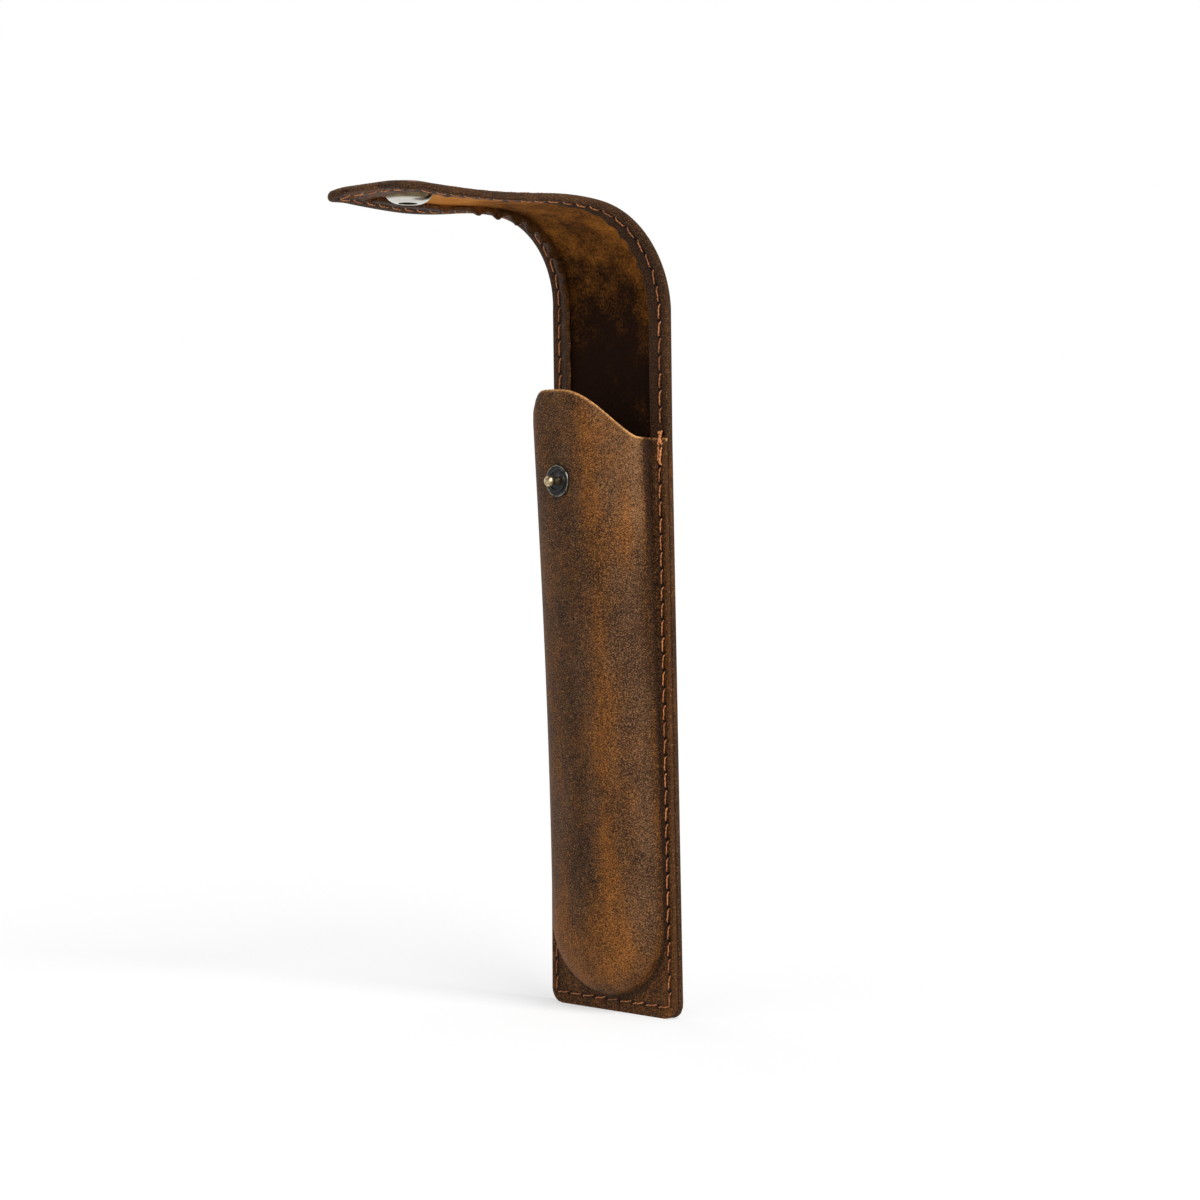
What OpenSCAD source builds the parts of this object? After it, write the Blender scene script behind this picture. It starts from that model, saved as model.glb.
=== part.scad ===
// Single pen sleeve: a strip of leather with turned-in edges makes the back and the flap,
// a moulded leather front is stitched to it, and a snap fastener closes the flap.
// Millimetres. The back stands on z = 0 and faces +Y, the front faces -Y, and y = 0 is
// the plane in which the two leathers meet. The flap is drawn open, bent forward.

/* [Pocket] */
// Width at the bottom edge
bottom_w = 42; // [40:0.5:48]
// Width at the mouth and of the riser above it
mouth_w = 39; // [35:0.5:44]
// Height of the front's sides, from the bottom edge to the mouth
mouth_h = 135.5; // [120:0.5:150]
// How far the middle of the mouth stands above its sides
tongue_h = 11.5; // [0:0.5:16]
// Thickness of the moulded front leather
front_t = 1.3; // [1:0.1:1.8]
// Radius of the bottom corners
corner_r = 3.5; // [2:0.5:6]
// Distance of the front's raw edge from the turned edge behind it
raw_inset = 0.2; // [0:0.1:1]

/* [Moulded dome] */
// Flat edge beside the dome near its round lower end
dome_low_edge = 3.3; // [3.3:0.1:8]
// Flat edge beside the dome at the mouth
dome_mouth_edge = 6.5; // [4.5:0.1:8.5]
// Depth of the dome near its lower end, outside
dome_low_d = 9.5; // [7:0.1:13]
// Depth of the dome at the mouth, outside
dome_mouth_d = 16.4; // [13:0.1:20]
// Distance from the bottom edge to the dome's lower end
dome_gap = 4; // [4:0.5:10]
// Squareness of the dome's section near the lower end, 2 is an ellipse
dome_low_n = 2.1; // [2:0.1:3]
// Squareness of the dome's section at the mouth
dome_mouth_n = 3.2; // [2.2:0.1:4]

/* [Back and flap leather] */
// Thickness of the strip with its edge turned in
strip_t = 1.8; // [1.6:0.1:2.4]
// Thickness of the single leather between the turned edges
sheet_t = 0.9; // [0.6:0.1:1.2]
// Width of the turned-in edge
hem_w = 7.5; // [5:0.5:8.5]
// Width of the turned-in edge across the flap's end
end_hem_w = 6.2; // [5:0.1:6.5]
// Radius of the folded edge
fold_r = 0.7; // [0.3:0.1:0.7]
// Flat length of the strip above the mouth
riser_l = 30; // [25:0.5:36]
// Inner radius of the main bend
bend_r = 22.5; // [18:0.5:28]
// Turn of the main bend, degrees
bend_a = 80; // [60:1:90]
// Inner radius of the easy bend after it
brow_r = 90; // [60:5:140]
// Turn of the easy bend, degrees
brow_a = 10; // [2:1:16]
// Length of the flap's last stretch
lip_l = 39.5; // [34:0.5:48]
// How far the last stretch curls back up, degrees
lip_curl = 7; // [1:1:12]
// Width of the flap's end
tip_w = 26; // [24:0.5:34]
// Radius of the flap's end corners
tip_r = 3; // [1.5:0.5:5]

/* [Flap bends] */
// Distance of the first bend line from the end of the flat riser
bend_from = 6; // [3:0.5:8]
// Distance between two bend lines of the flap
bend_pitch = 12; // [10:0.5:13]
// Clearance round the nose of each bend line
nose_gap = 0.12; // [0.08:0.01:0.2]

/* [Snap fastener] */
// Distance of the stud below the mouth's sides
stud_drop = 9.7; // [8:0.1:14]
// Radius of the stud's base washer
base_r = 3.8; // [3:0.1:4.5]
// Thickness of the base washer
base_t = 0.5; // [0.4:0.1:0.8]
// Radius of the stud's ball
ball_r = 1.3; // [1:0.05:1.5]
// Radius of the stud's neck
neck_r = 0.85; // [0.6:0.05:0.9]
// Height of the ball's centre above the base washer
ball_rise = 2.3; // [1.9:0.1:2.5]
// Radius of the rivet's shank in the front leather
shank_r = 1; // [0.8:0.05:1.3]
// Distance of the socket's axis from the flap's end
snap_inset = 12; // [12:0.5:15]
// Radius of the socket's rim
socket_r = 5.3; // [4.8:0.1:5.6]
// Height of the socket
socket_h = 2.5; // [2.2:0.1:3]
// Radius of the socket's mouth
socket_mouth_r = 2.15; // [1.9:0.05:2.3]
// Radius of the spring wire
wire_r = 0.3; // [0.2:0.05:0.35]
// Radius of the cap on the outside of the flap
cap_r = 6; // [5.5:0.1:6.5]
// Height of the cap
cap_h = 1.6; // [1.3:0.1:2.2]
// Outer radius of the cap's barrel
barrel_r = 2.28; // [2.1:0.02:2.4]
// Wall of the cap and of its barrel
cap_wall = 0.45; // [0.3:0.05:0.6]

/* [Stitching] */
// Distance from one stitch to the next
stitch_pitch = 3.9; // [3.5:0.1:5]
// Length of a stitch that shows between its two holes
stitch_l = 3; // [2:0.1:3.4]
// Radius of the thread
thread_r = 0.38; // [0.25:0.01:0.45]
// Distance of the seam from the turned edge
seam_inset = 2.7; // [2:0.1:3.2]
// Length of the tack over the mouth's corners
tack_l = 6.5; // [4:0.5:9]

/* [Hidden] */
PANELS = ["flap_panel_1", "flap_panel_2", "flap_panel_3"];
SEAMS = ["flap_stitches_1", "flap_stitches_2", "flap_stitches_3"];
BACK_SEAMS = ["flap_back_stitches_1", "flap_back_stitches_2", "flap_back_stitches_3"];

// Colours as seen on the object
hide = "saddlebrown";
thread = "darkorange";
old_brass = "darkslategray";
brass = "goldenrod";
nickel = "silver";

tiny = 0.01;
hole_gap = 0.02;
round_fn = 64;

// The strip's line after the mouth: length and turn of each stretch
stretches = [
    [riser_l, 0],
    [bend_r * bend_a * PI / 180, bend_a],
    [brow_r * brow_a * PI / 180, brow_a],
    [lip_l, -lip_curl]
];
flap_l = stretches[0][0] + stretches[1][0] + stretches[2][0] + stretches[3][0];
bend_line = [for (k = [0:len(PANELS) - 1]) riser_l + bend_from + k * bend_pitch];
line_gap = 0.25;
nose_over = 0.05;
nose_r = strip_t / 2 + nose_over;

function smooth(v) = let (c = max(0, min(1, v))) c * c * (3 - 2 * c);

// Place and direction of the strip's inner face, s millimetres past the mouth
function bent(p, len, turn, d) =
    let (a = p[2] + turn * d / len, r = len * 180 / (turn * PI))
    [p[0] + r * (cos(a) - cos(p[2])), p[1] + r * (sin(a) - sin(p[2])), a];
function walk(s, p, i) =
    let (len = stretches[i][0], q = bent(p, len, stretches[i][1], min(s, len)))
    s <= len || i == len(stretches) - 1 ? q : walk(s - len, q, i + 1);
function line_at(s) =
    s <= riser_l ? [0, mouth_h + s, 0] : walk(s - riser_l, [0, mouth_h + riser_l, 0], 1);

// What a corner or a fold of radius r takes off at distance d from the end
function nip(d, r) = d >= r ? 0 : r - sqrt(max(0, r * r - (r - d) * (r - d)));

// Half the strip's width at s, with its round corners
function straight_half(s) =
    s < 0 ? mouth_w / 2 + (mouth_w - bottom_w) / 2 * s / mouth_h :
    s < riser_l ? mouth_w / 2 :
    mouth_w / 2 + (tip_w - mouth_w) / 2 * (s - riser_l) / (flap_l - riser_l);
function strip_half(s) =
    straight_half(s) - nip(s + mouth_h, corner_r) - nip(flap_l - s, tip_r);

// Stations along the strip: close together at the corners, the folds and the bends
corner_steps = [for (a = [0:22.5:90]) 1 - cos(a)];
bend_step = 2;
stations = concat(
    [for (c = corner_steps) -mouth_h + fold_r * c],
    [for (c = corner_steps) if (corner_r * c > fold_r) -mouth_h + corner_r * c],
    [0],
    [for (s = [riser_l:bend_step:flap_l - lip_l]) s],
    [for (s = [flap_l - lip_l:4 * bend_step:flap_l - tip_r - tiny]) s],
    [for (i = [4:-1:0]) if (tip_r * corner_steps[i] > fold_r) flap_l - tip_r * corner_steps[i]],
    [for (i = [4:-1:0]) flap_l - fold_r * corner_steps[i]]
);
function between(s0, s1) =
    concat([s0], [for (s = stations) if (s > s0 + 0.05 && s < s1 - 0.05) s], [s1]);

// Closed skin over rings of as many points each, which run counter-clockwise seen from
// the last ring. caps lists the end faces by the points' places in a ring.
module skin(rings, caps) {
    n = len(rings[0]);
    last = (len(rings) - 1) * n;
    polyhedron(
        points = [for (ring = rings) each ring],
        faces = concat(
            caps,
            [for (cap = caps) [for (i = [len(cap) - 1:-1:0]) cap[i] + last]],
            [for (j = [0:len(rings) - 2], i = [0:n - 1])
                let (k = (i + 1) % n)
                [j * n + i, (j + 1) * n + i, (j + 1) * n + k, j * n + k]]
        ),
        convexity = 6
    );
}

// Section of the strip at s, from depth d0 to d1, with edges rounded by r
function strip_ring(s, d0, d1, inset, r) =
    let (
        p = line_at(s),
        end = nip(s + mouth_h, r) + nip(flap_l - s, r),
        w = strip_half(s) - inset,
        low = d0 + end,
        high = d1 - end,
        q = max(r - end, r / 20),
        turn = r > 0 ? [0, 45, 90] : [0],
        corners = [[-w, low, 180], [w, low, 270], [w, high, 0], [-w, high, 90]]
    )
    [for (c = corners, t = turn)
        let (
            x = c[0] - sign(c[0]) * q + q * cos(c[2] + t),
            d = c[1] + (c[1] == low ? q : -q) + q * sin(c[2] + t)
        )
        [x, p[0] + d * cos(p[2]), p[1] + d * sin(p[2])]];

module strip(s0, s1, d0, d1, inset, r) {
    rings = [for (s = between(s0, s1)) strip_ring(s, d0, d1, inset, r)];
    skin(rings, [[for (i = [0:len(rings[0]) - 1]) i]]);
}

// The leather between s0 and s1: two layers at the turned edges, one between them
module leather(s0, s1) {
    difference() {
        strip(s0, s1, 0, strip_t, 0, fold_r);
        recess_from = max(s0 - 1, -mouth_h + hem_w);
        recess_to = min(s1 + 1, flap_l - end_hem_w);
        if (recess_to > recess_from) {
            strip(recess_from, recess_to, -1, strip_t - sheet_t, hem_w, 0);
        }
    }
}

// Puts its children on the strip's line: Y points out of the outer face, Z along the strip
module on_strip(s) {
    p = line_at(s);
    translate([0, p[0], p[1]]) rotate([p[2], 0, 0]) children();
}

module bend_pin(k, r) {
    on_strip(bend_line[k])
        translate([0, strip_t / 2, 0])
            rotate([0, 90, 0])
                cylinder(r = r, h = 2 * bottom_w, center = true, $fn = round_fn);
}

// Leather from s0 to a bend line, with the round nose that fills the next length's hollow end
module leather_to_bend(s0, k) {
    difference() {
        leather(s0, bend_line[k] + 2 * nose_r);
        difference() {
            on_strip(bend_line[k]) translate([-bottom_w, -bottom_w / 2, 0]) cube(2 * bottom_w);
            bend_pin(k, nose_r);
        }
    }
}

// Moulded dome of the front: t runs from its lower end's centre to the mouth
dome_low_half = straight_half(dome_gap + bottom_w / 2 - mouth_h) - dome_low_edge;
dome_mouth_half = mouth_w / 2 - dome_mouth_edge;
dome_cz = dome_gap + dome_low_half;
function dome_t(z) = max(0, (z - dome_cz) / (mouth_h - dome_cz));
function dome_half(z) = dome_low_half - (dome_low_half - dome_mouth_half) * pow(dome_t(z), 1.4);
function dome_depth(z) = dome_low_d + (dome_mouth_d - dome_low_d) * pow(dome_t(z), 1.25);
function dome_n(z) = dome_low_n + (dome_mouth_n - dome_low_n) * pow(dome_t(z), 2);
function bulge(t, n) = [sign(cos(t)) * pow(abs(cos(t)), 2 / n), pow(abs(sin(t)), 2 / n)];

// Rise of the mouth's edge, by the way along the leather from the dome's foot
tongue_from = 2;
tongue_to = 20;
rise_from = 90;
function mouth_rise(t, z) =
    let (b = bulge(t, dome_n(z)), a = dome_half(z))
    let (run = 0.87 * (dome_depth(z) * b[1] + a * (1 - abs(b[0]))))
    tongue_h * smooth((run - tongue_from) / (tongue_to - tongue_from))
        * pow(max(0, (z - rise_from) / (mouth_h - rise_from)), 2);

// A point of the dome: t is 180 at its left foot and 0 at its right foot, wall is how far
// it lies inside the outer surface, and end runs from 90 in the shaft to 0 at the lower end
function dome_point(t, z, end, wall) =
    let (
        up = z + mouth_rise(t, z),
        low_z = dome_cz - (dome_low_half - wall) * cos(end),
        b = bulge(t, dome_n(up)),
        a = (dome_half(up) - wall) * sin(end),
        d = dome_depth(up) * pow(sin(end), 0.9)
    )
    [a * b[0], -(front_t - wall) - d * b[1], end < 90 ? low_z : up];

dome_cols = 28;
end_steps = [14, 26, 38, 51, 64, 77];
shaft_rows = 15;
function foot_row(z, wall, flat) =
    let (w = strip_half(z - mouth_h) - raw_inset, y = wall - front_t)
    concat(
        [[-w, y, z]],
        [for (i = [0:dome_cols])
            [-(dome_low_half - wall) * sin(end_steps[0]) * cos(180 * i / dome_cols), y, z]],
        [[w, y, z]]
    );
function dome_row(z, end, wall) =
    let (
        low_z = dome_cz - (dome_low_half - wall) * cos(end),
        at = end < 90 ? low_z : z,
        w = strip_half(at - mouth_h) - raw_inset
    )
    concat(
        [[-w, wall - front_t, at]],
        [for (i = [0:dome_cols]) dome_point(180 - 180 * i / dome_cols, z, end, wall)],
        [[w, wall - front_t, at]]
    );
foot_top = dome_gap - 0.2;
foot_heights = concat(
    [for (c = corner_steps) if (corner_r * c < foot_top - 0.1) corner_r * c],
    [foot_top]
);
front_rows = concat(
    [for (z = foot_heights) [z, -1]],
    [for (e = end_steps) [dome_cz, e]],
    [for (i = [0:shaft_rows]) [dome_cz + (mouth_h - dome_cz) * i / shaft_rows, 90]]
);
function front_ring(z, end) =
    let (
        outer = end < 0 ? foot_row(z, 0) : dome_row(z, end, 0),
        inner = end < 0 ? foot_row(z, front_t) : dome_row(z, end, front_t),
        n = len(inner)
    )
    concat(outer, [for (i = [n - 1:-1:0]) inner[i]]);

// Grooves in the back's rear face, in which its stitches lie below the surface
groove_d = thread_r + 0.08;
groove_end = 0.15;
back_thread_y = strip_t - groove_d + 0.04;
seam_lean = atan((bottom_w - mouth_w) / 2 / mouth_h);

// Stud: the crown is pressed flat under the washers
stud_z = mouth_h - stud_drop;
crown_y = -front_t - dome_depth(stud_z);
seat_d = 0.15;
seat_y = crown_y + seat_d;
seat_r = base_r + 0.15;
backing_t = 0.4;
backing_y = crown_y + front_t - 0.1;
rivet_tail_t = 0.3;

module on_stud(y) {
    translate([0, y, stud_z]) rotate([90, 0, 0]) children();
}

module back_panel() {
    groove_w = 2 * thread_r + 0.3;
    color(hide) difference() {
        leather_to_bend(-mouth_h, 0);
        for (side = [-1, 1]) {
            translate([side * (mouth_w / 2 - seam_inset), strip_t, mouth_h])
                rotate([0, -side * seam_lean, 0])
                    translate([-groove_w / 2, -groove_d, -(mouth_h - seam_inset)])
                        cube([groove_w, 1, mouth_h - seam_inset]);
        }
        riser_seam()
            translate([-groove_w / 2, strip_t - groove_d, -stitch_l / 2 - groove_end])
                cube([groove_w, 1, stitch_l + 2 * groove_end]);
        translate([-bottom_w / 2 + seam_inset, strip_t - groove_d, seam_inset - groove_w / 2])
            cube([bottom_w - 2 * seam_inset, 1, groove_w]);
    }
}

module front_pocket() {
    rings = [for (row = front_rows) front_ring(row[0], row[1])];
    n = len(rings[0]);
    color(hide) difference() {
        skin(rings, [for (i = [0:n / 2 - 2]) [i, i + 1, n - 2 - i, n - 1 - i]]);
        on_stud(seat_y) cylinder(r = seat_r, h = front_t, $fn = round_fn);
        on_stud(backing_y + front_t) cylinder(r = seat_r, h = front_t, $fn = round_fn);
        on_stud(0) cylinder(r = shank_r + hole_gap, h = bottom_w, $fn = round_fn);
    }
}

// One stitch, lying along Z on a face that looks towards -Y
module stitch(len = stitch_l, r = thread_r) {
    turn = [0, 45, 90, 135, 180];
    translate([0, 0, -len / 2])
        linear_extrude(len)
            polygon([for (a = turn) [r * cos(a), -r * sin(a)]]);
}

// The pocket's seam: down one side, along the bottom and up the other side
side_run = mouth_h - tack_l - seam_inset;
side_count = floor(side_run / stitch_pitch);
bottom_run = bottom_w - 2 * seam_inset;
bottom_count = floor(bottom_run / stitch_pitch);

module pocket_seam() {
    for (side = [-1, 1], i = [0:side_count - 1]) {
        z = seam_inset + (i + 0.5) * side_run / side_count;
        translate([side * (straight_half(z - mouth_h) - seam_inset), 0, z])
            rotate([0, -side * seam_lean, 0])
                children();
    }
    for (i = [0:bottom_count - 1]) {
        translate([-bottom_run / 2 + (i + 0.5) * bottom_run / bottom_count, 0, seam_inset])
            rotate([0, 90, 0])
                children();
    }
}

module pocket_stitches() {
    color(thread) translate([0, -front_t, 0]) pocket_seam() stitch();
}

module back_stitches() {
    color(thread) {
        translate([0, back_thread_y, 0]) pocket_seam() mirror([0, 1, 0]) stitch();
        riser_seam() translate([0, back_thread_y, 0]) mirror([0, 1, 0]) stitch();
        for (side = [-1, 1]) {
            translate([side * (mouth_w / 2 - seam_inset), back_thread_y, mouth_h - tack_l / 2])
                rotate([0, -side * seam_lean, 0])
                    mirror([0, 1, 0])
                        stitch(tack_l - 1);
        }
    }
}

// Places its children along both sides of the strip from s0 to s1
module side_seam(s0, s1) {
    count = max(1, round((s1 - s0) / stitch_pitch));
    for (side = [-1, 1], i = [0:count - 1]) {
        $s = s0 + (i + 0.5) * (s1 - s0) / count;
        slope = atan((straight_half($s + 1) - straight_half($s - 1)) / 2);
        on_strip($s)
            translate([side * (straight_half($s) - seam_inset), 0, 0])
                rotate([0, side * slope, 0])
                    children();
    }
}

// A stitch of such a seam on the inner face, 0, or the outer face, 1. In the bend it stands
// so far off the leather that its straight ends clear the hollow face.
bend_lift = (stitch_l * stitch_l + bend_step * bend_step) / 8 / bend_r + tiny;
module strip_stitch(face) {
    lift = $s + stitch_l / 2 > riser_l ? bend_lift : 0;
    translate([0, face * (strip_t + 2 * lift) - lift, 0]) mirror([0, face, 0]) stitch();
}

module riser_seam() {
    side_seam(tack_l / 2, bend_line[0] - line_gap) children();
}

module riser_stitches() {
    color(thread) riser_seam() strip_stitch(0);
}

// Tack at a corner of the mouth: three passes of thread over the front's raw edge, one
// leg of each on the front leather and one on the strip above it
module mouth_tack(side) {
    strand_r = 1.1 * thread_r;
    leg = 0.35 * tack_l;
    color(thread)
        translate([side * (mouth_w / 2 - seam_inset), 0, mouth_h])
            for (k = [-1:1]) {
                low = 2 * leg + 0.4 * k;
                high = leg + 0.2 * k;
                translate([k * 1.5 * strand_r, 0, 0]) {
                    translate([0, -front_t, (strand_r - low) / 2]) stitch(low + strand_r, strand_r);
                    translate([0, 0, high / 2]) stitch(high, strand_r);
                    translate([0, -front_t / 2, 0]) rotate([-90, 0, 0]) stitch(front_t, strand_r);
                }
            }
}

module mouth_tack_left() {
    mouth_tack(-1);
}

module mouth_tack_right() {
    mouth_tack(1);
}

// Washer with a raised bead, on which the socket closes
bead_r = 2.45;
bead_h = 0.3;
module stud_base() {
    color(old_brass)
        on_stud(seat_y)
            difference() {
                union() {
                    rotate_extrude($fn = round_fn)
                        polygon([[0, 0], [base_r, 0], [base_r, base_t - 0.2],
                            [base_r - 0.3, base_t], [0, base_t]]);
                    translate([0, 0, base_t])
                        rotate_extrude($fn = round_fn)
                            translate([bead_r, 0])
                                intersection() {
                                    circle(r = bead_h, $fn = 24);
                                    translate([-bead_h, -0.1]) square([2 * bead_h, 1]);
                                }
                }
                translate([0, 0, -1]) cylinder(r = shank_r + hole_gap, h = 3, $fn = round_fn);
            }
}

// Rivet with a neck and a ball in front, its shank through the leather and a flat tail
module stud_post() {
    tail_y = backing_y + backing_t;
    color(brass) {
        on_stud(tail_y)
            cylinder(r = shank_r, h = tail_y - seat_y + base_t, $fn = round_fn);
        on_stud(seat_y - base_t) {
            cylinder(r1 = shank_r, r2 = neck_r, h = 0.4, $fn = round_fn);
            cylinder(r = neck_r, h = ball_rise, $fn = round_fn);
            translate([0, 0, ball_rise]) sphere(r = ball_r, $fn = 48);
        }
        on_stud(tail_y + rivet_tail_t)
            cylinder(r = 1.5 * shank_r, h = rivet_tail_t, $fn = round_fn);
    }
}

module stud_backing() {
    color(old_brass)
        on_stud(backing_y + backing_t)
            difference() {
                cylinder(r = base_r, h = backing_t, $fn = round_fn);
                translate([0, 0, -1]) cylinder(r = shank_r + hole_gap, h = 3, $fn = round_fn);
            }
}

// Snap parts stand on the suede between the turned edges, with their axis along -Y there
snap_s = flap_l - snap_inset;
module on_snap(d) {
    on_strip(snap_s) translate([0, d, 0]) rotate([90, 0, 0]) children();
}

cavity_r = socket_mouth_r + 0.2;
module snap_socket() {
    h = socket_h;
    color(nickel)
        on_snap(strip_t - sheet_t)
            rotate_extrude($fn = round_fn)
                polygon([
                    [barrel_r + hole_gap, 0], [socket_r, 0], [socket_r, 0.2 * h],
                    [0.93 * socket_r, 0.45 * h], [0.78 * socket_r, 0.75 * h],
                    [0.6 * socket_r, 0.94 * h], [socket_mouth_r + 0.3, h],
                    [socket_mouth_r, h - 0.15], [socket_mouth_r, 0.8 * h],
                    [cavity_r, 0.76 * h], [cavity_r, 0.44 * h], [barrel_r + hole_gap, 0.4 * h]
                ]);
}

// Open ring of wire that grips the stud's ball
module snap_spring() {
    color(nickel)
        on_snap(strip_t - sheet_t)
            translate([0, 0, 0.6 * socket_h])
                rotate_extrude(angle = 320, $fn = round_fn)
                    translate([cavity_r - wire_r - 0.03, 0])
                        circle(r = wire_r, $fn = 24);
}

// Domed cap outside, whose barrel passes through the leather into the socket
module snap_cap() {
    in_r = barrel_r - cap_wall;
    color(old_brass)
        on_snap(strip_t)
            mirror([0, 0, 1])
                difference() {
                    union() {
                        rotate_extrude($fn = round_fn)
                            polygon([
                                [0, 0], [cap_r - 0.2, 0], [cap_r, 0.25], [0.97 * cap_r, 0.45 * cap_h],
                                [0.83 * cap_r, 0.75 * cap_h], [0.55 * cap_r, 0.95 * cap_h],
                                [0.25 * cap_r, cap_h], [0, cap_h]
                            ]);
                        translate([0, 0, -sheet_t - 0.35 * socket_h])
                            cylinder(r = barrel_r, h = sheet_t + 0.35 * socket_h + tiny, $fn = round_fn);
                    }
                    translate([0, 0, -socket_h - sheet_t])
                        cylinder(r = in_r, h = socket_h + sheet_t + cap_h - cap_wall, $fn = round_fn);
                }
}

module flap_panel(k) {
    color(hide) difference() {
        if (k < len(bend_line)) {
            leather_to_bend(bend_line[k - 1], k);
        } else {
            leather(bend_line[k - 1], flap_l);
        }
        bend_pin(k - 1, nose_r + nose_gap);
        if (k == len(bend_line)) {
            on_snap(2 * strip_t) {
                cylinder(r = barrel_r + hole_gap, h = 3 * strip_t, $fn = round_fn);
                cylinder(r = cap_r + 0.1, h = strip_t, $fn = round_fn);
            }
        }
    }
}

// Stitches of one length of the flap, on its inner face, 0, or its outer face, 1
module flap_seam(k, face) {
    first = bend_line[k - 1] + nose_r + nose_gap + line_gap;
    end_s = flap_l - seam_inset;
    last = k < len(bend_line) ? bend_line[k] - line_gap : end_s;
    color(thread) {
        side_seam(first, last) strip_stitch(face);
        if (k == len(bend_line)) {
            run = 2 * (straight_half(end_s) - seam_inset);
            count = floor(run / stitch_pitch);
            for (i = [0:count - 1]) {
                on_strip(end_s)
                    translate([-run / 2 + (i + 0.5) * run / count, face * strip_t, 0])
                        rotate([0, 90, 0])
                            mirror([0, face, 0])
                                stitch();
            }
        }
    }
}

module flap_stitches(k) {
    flap_seam(k, 0);
}

module flap_back_stitches(k) {
    flap_seam(k, 1);
}

back_panel();
front_pocket();
pocket_stitches();
back_stitches();
riser_stitches();
mouth_tack_left();
mouth_tack_right();
stud_base();
stud_post();
stud_backing();
snap_cap();
snap_socket();
snap_spring();
for (k = [1:len(PANELS)]) {
    flap_panel(k);
    flap_stitches(k);
    flap_back_stitches(k);
}
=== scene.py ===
import math

import bpy
import numpy as np
from mathutils import Matrix, Vector


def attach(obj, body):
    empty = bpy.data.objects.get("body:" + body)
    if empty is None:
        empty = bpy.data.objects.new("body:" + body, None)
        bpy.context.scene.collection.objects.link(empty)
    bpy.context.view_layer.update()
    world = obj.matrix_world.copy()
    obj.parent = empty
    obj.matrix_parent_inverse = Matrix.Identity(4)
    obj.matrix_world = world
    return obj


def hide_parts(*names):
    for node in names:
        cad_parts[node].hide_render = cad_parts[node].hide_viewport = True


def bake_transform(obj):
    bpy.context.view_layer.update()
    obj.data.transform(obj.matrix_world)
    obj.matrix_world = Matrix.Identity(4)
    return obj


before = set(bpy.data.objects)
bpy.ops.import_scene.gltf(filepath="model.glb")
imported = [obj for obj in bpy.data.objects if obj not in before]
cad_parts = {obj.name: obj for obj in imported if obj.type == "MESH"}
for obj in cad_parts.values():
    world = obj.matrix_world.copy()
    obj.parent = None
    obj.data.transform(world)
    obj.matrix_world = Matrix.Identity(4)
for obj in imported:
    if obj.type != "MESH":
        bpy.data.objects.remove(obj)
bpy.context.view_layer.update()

# The strip is one length of leather that makes the back, the riser behind the mouth and the
# flap. Its edges are folded in, glued and sewn, so its inner face is suede between dark hems.
# It is cut from oiled and waxed hide, and its free hem puckers where the flap bends.
mm = 0.001
mouth_h = 135.5
mouth_w, bottom_w = 39.0, 42.0
flap_taper = 5.8
bottom_r, tip_r = 3.5, 3.0
strip_t = 1.8
sheet_t = 0.9
hem_w = 6.0
end_hem_w = 7.9
seam_inset = 2.7
pocket_inset = 1.9
stitch_l = 3.9
tack_l = 6.5
riser_l = 30.0
# The length of each stretch above the mouth, and the degrees that it bends.
stretches = [
    (riser_l, 0.0),
    (22.5 * math.radians(80), 80.0),
    (90.0 * math.radians(10), 10.0),
    (40.9, -7.0),
]
flap_l = sum(run for run, turn in stretches)
roll_end = math.radians(2.6)
far_droop, near_droop, tip_dip = 1.2, 0.65, 0.5
# The turn at each of the three bend lines is spread between two of these marks.
bend_marks = [riser_l, 42.0, 54.0, 66.0]
low_s, flap_end_s = seam_inset - mouth_h, flap_l - seam_inset
side_run, side_count = mouth_h - tack_l - seam_inset, 32
flap_seam_from = 3.25
flap_run, flap_count = flap_end_s - flap_seam_from, 28
low_count, end_count = 9, 5
seam_past = 0.4
# The distance across a seam where no seam is near.
no_seam = 9.0


def smooth(v):
    """0 below 0 and 1 above 1, eased between them."""
    v = np.clip(v, 0, 1)
    return v * v * (3 - 2 * v)


def bell(v, middle, width):
    """1 where v is at the middle, falling off softly to both sides."""
    return np.exp(-(((v - middle) / width) ** 2))


def strip_line(s):
    """Place (y, z) and lean of the strip's inner face."""
    s = np.asarray(s, float)
    y, z, lean = np.zeros_like(s), mouth_h + np.minimum(s, 0), np.zeros_like(s)
    left = np.maximum(s, 0)
    for run, turn in stretches:
        d = np.minimum(left, run)
        left = left - d
        if turn == 0:
            z = z + d
            continue
        k = math.radians(turn) / run
        after = lean + k * d
        y = y + (np.cos(after) - np.cos(lean)) / k
        z = z + (np.sin(after) - np.sin(lean)) / k
        lean = after
    return y, z, lean


def on_strip(x, s, d):
    """The point d below the inner face. The flap is a bit rolled and its edges droop."""
    x, s, d = np.broadcast_arrays(np.asarray(x, float), s, d)
    y, z, lean = strip_line(s)
    roll = roll_end * smooth((s - riser_l) / 60)
    x2 = x * np.cos(roll) - (d - sheet_t) * np.sin(roll)
    droop = np.where(x < 0, far_droop, near_droop) * (np.maximum(np.abs(x) - 6, 0) / 8) ** 2
    droop = droop * smooth((s - 62) / 35) + tip_dip * smooth((s - 111) / 6)
    d2 = sheet_t + (d - sheet_t) * np.cos(roll) + x * np.sin(roll) - droop
    return np.stack([x2, y + d2 * np.cos(lean), z + d2 * np.sin(lean)], -1)


def corner_cut(d, r):
    """What a corner of radius r takes off the half width at distance d from the end."""
    return r - np.sqrt(np.maximum(0, r * r - np.maximum(0, r - d) ** 2))


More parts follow.
